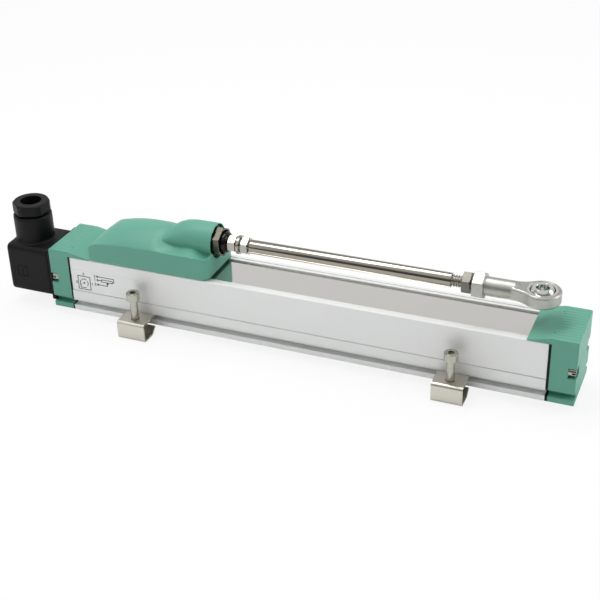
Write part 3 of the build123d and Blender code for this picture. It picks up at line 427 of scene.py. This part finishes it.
def labelStrokes():
    f, r, h = plugFace, resistor, label["digitHeight"]
    strokes = [[(f["left"], f["low"]), (f["right"], f["low"]), (f["right"], f["high"]),
                (f["left"], f["high"]), (f["left"], f["low"])]]
    for turn in (0, 90, 180):
        strokes.append(arcPoints(f["centre"], f["pinReach"], turn - f["pinSpan"], turn + f["pinSpan"]))
    strokes.append(arcPoints(f["centre"], f["dot"], 0, 360))
    keyX, keyZ = f["left"] + f["keyInset"][0], f["low"] + f["keyInset"][1]
    strokes.append([(keyX, keyZ), (keyX + f["keyLength"], keyZ)])
    strokes.append([(keyX, keyZ), (keyX, keyZ + f["keyHeight"])])

    top, middle, low = r["rows"]
    start = r["left"] + r["lineStart"]
    for z in r["rows"]:
        strokes.append(arcPoints((r["left"] + r["ringPlace"], z), r["ring"], 0, 360, 10))
    strokes.append([(start, top), (r["right"], top), (r["right"], middle), (r["boxRight"], middle)])
    boxLow, boxHigh = middle - r["boxHalf"], middle + r["boxHalf"]
    strokes.append([(r["boxLeft"], boxLow), (r["boxRight"], boxLow), (r["boxRight"], boxHigh),
                    (r["boxLeft"], boxHigh), (r["boxLeft"], boxLow)])
    strokes.append([(start, middle), (r["boxLeft"], middle)])
    tap, tip = r["tap"], middle - r["tapGap"]
    wide, deep = r["arrow"]
    strokes.append([(start, low), (tap, low), (tap, tip)])
    strokes.append([(tap - wide, tip - deep), (tap, tip), (tap + wide, tip - deep)])

    figures = digitStrokes("3", f["centre"][0], f["high"] + f["topDigitGap"], h)
    figures += digitStrokes("2", f["left"] - f["digitGap"], f["centre"][1], h)
    figures += digitStrokes("1", f["right"] + f["digitGap"], f["centre"][1], h)
    figures += digitStrokes("3", r["left"] - r["digitGap"], top, h)
    figures += digitStrokes("1", r["left"] - r["digitGap"], middle, h)
    figures += digitStrokes("2", r["left"] - r["digitGap"], low, h)
    drawn = [(stroke, label["line"]) for stroke in strokes]
    return drawn + [(stroke, label["digitLine"]) for stroke in figures]


verts, faces = [], []
for stroke, width in labelStrokes():
    strokeVerts, strokeFaces = flatStroke(stroke, width, filmFace + label["sunk"],
                                          label["thickness"] + label["sunk"])
    faces += [tuple(i + len(verts) for i in face) for face in strokeFaces]
    verts += strokeVerts
inkMesh = bpy.data.meshes.new("labelDrawing")
inkMesh.from_pydata(verts, [], faces)
inkMesh.update()
addPiece("labelDrawing", inkMesh, materials["printedInk"], "housing")
print("label drawing made")


# small solids bounded by a flat outline in one plane

def prism(name, outline, axis, low, high):
    # outline holds the two other coordinates in mm, axis is the prism's direction, x or y
    order = {"x": (2, 0, 1), "y": (0, 2, 1)}[axis]
    count = len(outline)
    points = []
    for level in (low, high):
        for corner in outline:
            values = (corner[0], corner[1], level)
            points.append(tuple(values[k] / 1000 for k in order))
    faces = [tuple(range(count))[::-1], tuple(range(count, 2 * count))]
    faces += [(i, (i + 1) % count, (i + 1) % count + count, i + count) for i in range(count)]
    mesh = bpy.data.meshes.new(name)
    mesh.from_pydata(points, [], faces)
    mesh.update()
    return mesh


# the drawn edge over each clamp groove: it runs down to the groove's mouth

grooveEdge = dict(face=16.0, depth=0.72, low=6.1, high=6.85)
profileLow, profileHigh = map(millimetres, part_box("profile_housing"))
for name, side in (("grooveEdgeFront", -1), ("grooveEdgeBack", 1)):
    outer = side * grooveEdge["face"]
    inner = outer - side * grooveEdge["depth"]
    outline = [(outer, grooveEdge["low"]), (outer, grooveEdge["high"]), (inner, grooveEdge["low"])]
    mesh = prism(name, outline, "x", profileLow[0], profileHigh[0])
    addPiece(name, mesh, materials["anodisedAluminium"], "housing")

# the fine edge of the ledge under the label: it has the strip's polish and catches the light as a thin line
ledgeEdge = dict(face=16.0, depth=0.25, height=12.0)
for name, side in (("ledgeEdgeFront", -1), ("ledgeEdgeBack", 1)):
    outer = side * ledgeEdge["face"]
    inner = outer - side * ledgeEdge["depth"]
    top = ledgeEdge["height"] + ledgeEdge["depth"]
    outline = [(outer, ledgeEdge["height"]), (inner, top), (inner, ledgeEdge["height"])]
    mesh = prism(name, outline, "x", profileLow[0], profileHigh[0])
    addPiece(name, mesh, materials["polishedStrip"], "housing")
print("edges of the extrusion made")


# a faint raised square with a short bar in it on the connector's near side

emboss = dict(centre=(-159.6, 16.4), size=6.2, line=0.45, rise=0.18, bar=2.6)
connectorFace = millimetres(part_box("connector_housing")[0])[1]


def squareRing(name, y, rise):
    # four bars round a square, seen along Y, and one short bar inside
    x, z = emboss["centre"]
    r, t = emboss["size"] / 2, emboss["line"]
    bars = [(x - r, z - r, x + r, z - r + t),
            (x - r, z + r - t, x + r, z + r),
            (x - r, z - r + t, x - r + t, z + r - t),
            (x + r - t, z - r + t, x + r, z + r - t),
            (x - t / 2, z - emboss["bar"] / 2, x + t / 2, z + emboss["bar"] / 2)]
    verts, faces = [], []
    for x0, z0, x1, z1 in bars:
        part = prism(name, [(x0, z0), (x1, z0), (x1, z1), (x0, z1)], "y", y - rise, y + rise)
        faces += [tuple(i + len(verts) for i in face.vertices) for face in part.polygons]
        verts += [tuple(v.co) for v in part.vertices]
        bpy.data.meshes.remove(part)
    mesh = bpy.data.meshes.new(name)
    mesh.from_pydata(verts, [], faces)
    mesh.update()
    return mesh


mesh = squareRing("connectorEmboss", connectorFace, emboss["rise"])
addPiece("connectorEmboss", mesh, materials["blackNylon"], "housing")
print("connector emboss made")


# stage, lights and camera

# the camera sees the floor as white, with the given share of the real floor and so of its shadow
stage = dict(colour="#F6F6F6", rough=0.9, shadow=0.14, reach=3.0)


def addStage():
    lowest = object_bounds()[0].z
    reach = stage["reach"]
    mesh = bpy.data.meshes.new("floor")
    corners = [(-reach, -reach, lowest), (reach, -reach, lowest),
               (reach, reach, lowest), (-reach, reach, lowest)]
    mesh.from_pydata(corners, [], [(0, 1, 2, 3)])
    floor = bpy.data.objects.new("floor", mesh)
    bpy.context.scene.collection.objects.link(floor)
    material = bpy.data.materials.new("paperFloor")
    material.use_nodes = True
    tree = material.node_tree
    shader = tree.nodes["Principled BSDF"]
    shader.inputs["Base Color"].default_value = linear(stage["colour"])
    shader.inputs["Roughness"].default_value = stage["rough"]
    glow = addNode(tree, "ShaderNodeEmission", None, {"Color": (1, 1, 1, 1), "Strength": 1.0})
    path = addNode(tree, "ShaderNodeLightPath")
    share = addNode(tree, "ShaderNodeMath", {"operation": "MULTIPLY"},
                    {0: path.outputs["Is Camera Ray"], 1: 1 - stage["shadow"]})
    mix = addNode(tree, "ShaderNodeMixShader", None,
                  {0: share.outputs[0], 1: shader.outputs[0], 2: glow.outputs[0]})
    tree.links.new(mix.outputs[0], tree.nodes["Material Output"].inputs["Surface"])
    mesh.materials.append(material)


# the studio round the object: its brightness at each height from the floor line to straight above,
# behind the object and on the camera's darker side; side is where one passes into the other along Y
world = dict(strength=0.90, side=(-0.35, 0.05),
             back=((0.00, "#8F9090"), (0.08, "#D2D3D3"), (0.20, "#EEEFEF"), (0.52, "#F0F0F0"),
                   (0.58, "#8A8B8B"), (0.64, "#8A8B8B"), (0.72, "#EFEFEF"), (1.00, "#F8F8F8")),
             front=((0.00, "#3E3F3F"), (0.25, "#626363"), (0.50, "#7E7F7F"), (0.64, "#EDEDED"),
                    (1.00, "#F8F8F8")))


def addWorld():
    scene = bpy.context.scene
    scene.world = bpy.data.worlds.new("studio")
    scene.world.use_nodes = True
    tree = scene.world.node_tree
    tree.nodes.clear()
    direction = addNode(tree, "ShaderNodeTexCoord").outputs["Generated"]
    split = addNode(tree, "ShaderNodeSeparateXYZ", None, {0: direction})
    sideLow, sideHigh = world["side"]
    behind = addNode(tree, "ShaderNodeMapRange", None,
                     {"Value": split.outputs["Y"], "From Min": sideLow, "From Max": sideHigh})
    ramps = []
    for bands in (world["front"], world["back"]):
        ramp = addNode(tree, "ShaderNodeValToRGB", None, {"Fac": split.outputs["Z"]})
        steps = ramp.color_ramp.elements
        while len(steps) < len(bands):
            steps.new(1.0)
        for step, (level, tone) in zip(steps, bands):
            step.position = level
            step.color = linear(tone)
        ramps.append(ramp.outputs["Color"])
    colour = addNode(tree, "ShaderNodeMix", {"data_type": "RGBA"},
                     {0: behind.outputs[0], 6: ramps[0], 7: ramps[1]})
    light = addNode(tree, "ShaderNodeBackground", None,
                    {"Color": colour.outputs[2], "Strength": world["strength"]})
    white = addNode(tree, "ShaderNodeBackground", None, {"Color": (1, 1, 1, 1), "Strength": 1.0})
    path = addNode(tree, "ShaderNodeLightPath")
    mix = addNode(tree, "ShaderNodeMixShader", None,
                  {0: path.outputs["Is Camera Ray"], 1: light.outputs[0], 2: white.outputs[0]})
    addNode(tree, "ShaderNodeOutputWorld", None, {"Surface": mix.outputs[0]})


# soft lamps: place and size in metres, power in watts, all turned to one point on the housing
lampAim = (0, 0, 0.02)
softboxes = {
    "overheadSoftbox": dict(place=(-0.2, 0.08, 0.8), size=(0.6, 0.2), power=2.9),
    "rightSoftbox": dict(place=(0.9, 0.25, 0.35), size=(0.4, 0.5), power=2.2),
    "leftFill": dict(place=(-0.4, -0.4, 0.25), size=(0.4, 0.3), power=0.28),
}


def addLights():
    for name, box in softboxes.items():
        light = bpy.data.lights.new(name, "AREA")
        light.shape = "RECTANGLE"
        light.size, light.size_y = box["size"]
        light.energy = box["power"]
        lamp = bpy.data.objects.new(name, light)
        lamp.location = box["place"]
        aim = Vector(lampAim) - lamp.location
        lamp.rotation_euler = aim.to_track_quat("-Z", "Y").to_euler()
        bpy.context.scene.collection.objects.link(lamp)


# the camera: place in metres, azimuth and elevation in degrees, roll in radians, lens in millimetres
viewpoint = dict(place=(0.20784, -0.49922, 0.33192), azimuth=22.92, elevation=29.84, roll=0.0284, lens=74.25)


def addCamera():
    az = math.radians(viewpoint["azimuth"])
    el = math.radians(viewpoint["elevation"])
    right = Vector((math.cos(az), math.sin(az), 0))
    back = Vector((math.sin(az) * math.cos(el), -math.cos(az) * math.cos(el), math.sin(el)))
    up = back.cross(right)
    c, s = math.cos(viewpoint["roll"]), math.sin(viewpoint["roll"])
    across = right * c - up * s
    upward = right * s + up * c
    data = bpy.data.cameras.new("photoCamera")
    data.lens = viewpoint["lens"]
    data.sensor_width = 36.0
    data.sensor_fit = "HORIZONTAL"
    data.clip_start = 0.01
    camera = bpy.data.objects.new("photoCamera", data)
    turn = Matrix((across, upward, back)).transposed().to_4x4()
    camera.matrix_world = Matrix.Translation(viewpoint["place"]) @ turn
    bpy.context.scene.collection.objects.link(camera)
    bpy.context.scene.camera = camera


addStage()
addWorld()
addLights()
addCamera()
bpy.context.scene.view_settings.view_transform = "Standard"
print("stage, lights and camera set")
